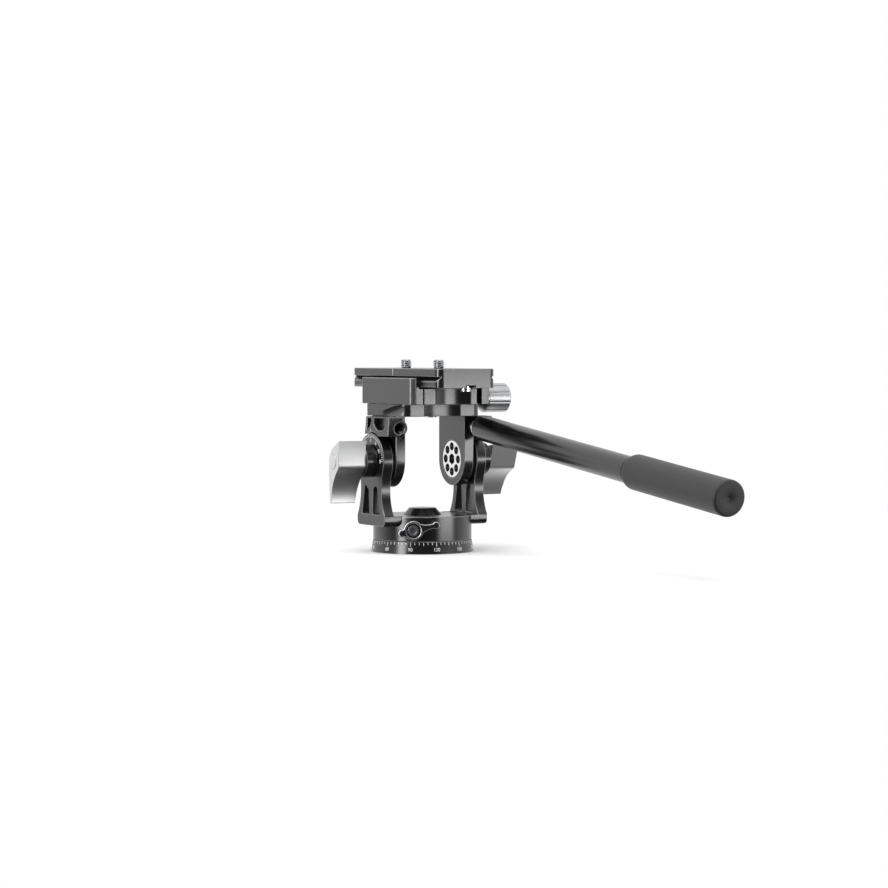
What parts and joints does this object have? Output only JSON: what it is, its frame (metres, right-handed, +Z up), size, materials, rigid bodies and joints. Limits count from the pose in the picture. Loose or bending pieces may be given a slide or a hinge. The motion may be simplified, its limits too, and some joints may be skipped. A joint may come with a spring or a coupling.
{
  "type": "two-way pan tilt head",
  "caption": "Two-way pan tilt tripod head: round pan base with a lock lever, windowed fork, tilting cradle with wing knobs, dovetail clamp with plate, and a long foam-grip handle.",
  "frame": {"origin": "centre of the base's underside, on the pan axis, at the mouth of the tripod thread", "axes": "+Z up along the pan axis, +Y forwards towards the lens, +X to the operator's right along the tilt axis"},
  "size_m": [0.1178, 0.3293, 0.1118],
  "materials": {
    "black_anodised": "bead-blasted black anodised aluminium",
    "silver_anodised": "fine-blasted clear anodised aluminium",
    "steel": "turned steel",
    "bright_steel": "polished steel",
    "white_polymer": "machined acetal",
    "dark_polymer": "filled friction polymer",
    "bronze": "turned bearing bronze",
    "foam": "closed-cell black foam rubber"
  },
  "bodies": {
    "base": {"base_plate": "black_anodised", "tripod_thread_insert": "steel", "pan_spindle": "steel", "spindle_screws": "steel", "pan_washer": "white_polymer", "cap_washer": "white_polymer", "spindle_cap": "black_anodised"},
    "pan": {"pan_body": "black_anodised", "pan_bush": "bronze", "pan_lock_shoe": "bronze", "left_fork_arm": "black_anodised", "right_fork_arm": "black_anodised", "fork_screws": "steel", "left_tilt_axle": "bright_steel", "right_tilt_axle": "bright_steel", "left_friction_washer": "dark_polymer", "right_friction_washer": "dark_polymer", "left_thrust_washer": "steel", "right_thrust_washer": "steel"},
    "pan_lever": {"pan_lock_lever": "black_anodised", "pan_lock_screw": "steel"},
    "left_knob": {"left_tilt_knob": "silver_anodised", "left_knob_hub": "black_anodised", "left_knob_cap": "silver_anodised"},
    "right_knob": {"right_tilt_knob": "silver_anodised", "right_knob_hub": "black_anodised", "right_knob_cap": "silver_anodised"},
    "cradle": {"left_cheek": "black_anodised", "right_cheek": "black_anodised", "left_tilt_bush": "dark_polymer", "right_tilt_bush": "dark_polymer", "cradle_plate": "black_anodised", "cheek_screws": "steel", "clamp_body": "black_anodised", "clamp_mount_screws": "steel", "jaw_guide_pins": "steel", "jaw_springs": "steel", "handle_stud": "steel", "handle_washer": "bright_steel", "handle_tube": "black_anodised", "handle_plug": "steel", "handle_grip": "foam"},
    "jaw": {"moving_jaw": "black_anodised", "jaw_washer": "steel"},
    "clamp_knob": {"clamp_knob": "silver_anodised", "clamp_screw": "steel"},
    "plate": {"quick_release_plate": "black_anodised", "camera_screws": "steel", "plate_stop_screws": "bright_steel"}
  },
  "joints": [
    {"name": "pan", "type": "hinge", "parent": "base", "child": "pan", "pos_m": [0, 0, 0], "axis": [0, 0, 1], "continuous": true},
    {"name": "tilt", "type": "hinge", "parent": "pan", "child": "cradle", "pos_m": [0, 0, 0.0534], "axis": [1, 0, 0], "range_deg": [-80, 60]},
    {"name": "pan_lock", "type": "hinge", "parent": "pan", "child": "pan_lever", "pos_m": [0, 0, 0.01379], "axis": [-0.6074, -0.7944, 0], "range_deg": [-20, 50]},
    {"name": "left_tilt_lock", "type": "hinge", "parent": "pan", "child": "left_knob", "pos_m": [0, 0, 0.0534], "axis": [1, 0, 0], "range_deg": [-45, 120]},
    {"name": "right_tilt_lock", "type": "hinge", "parent": "pan", "child": "right_knob", "pos_m": [0, 0, 0.0534], "axis": [1, 0, 0], "range_deg": [-45, 120]},
    {"name": "clamp_screw_turn", "type": "hinge", "parent": "jaw", "child": "clamp_knob", "pos_m": [0, 0, 0.0892], "axis": [1, 0, 0], "range_deg": [0, 1080]},
    {"name": "jaw_slide", "type": "slide", "parent": "cradle", "child": "jaw", "axis": [1, 0, 0], "range_m": [0, 0.003]},
    {"name": "plate_slide", "type": "slide", "parent": "cradle", "child": "plate", "axis": [0, 1, 0], "range_m": [-0.008, 0.008]}
  ],
  "couplings": [
    {"joint": "clamp_screw_turn", "follows": "jaw_slide", "rad_per_m": 6283.2}
  ]
}
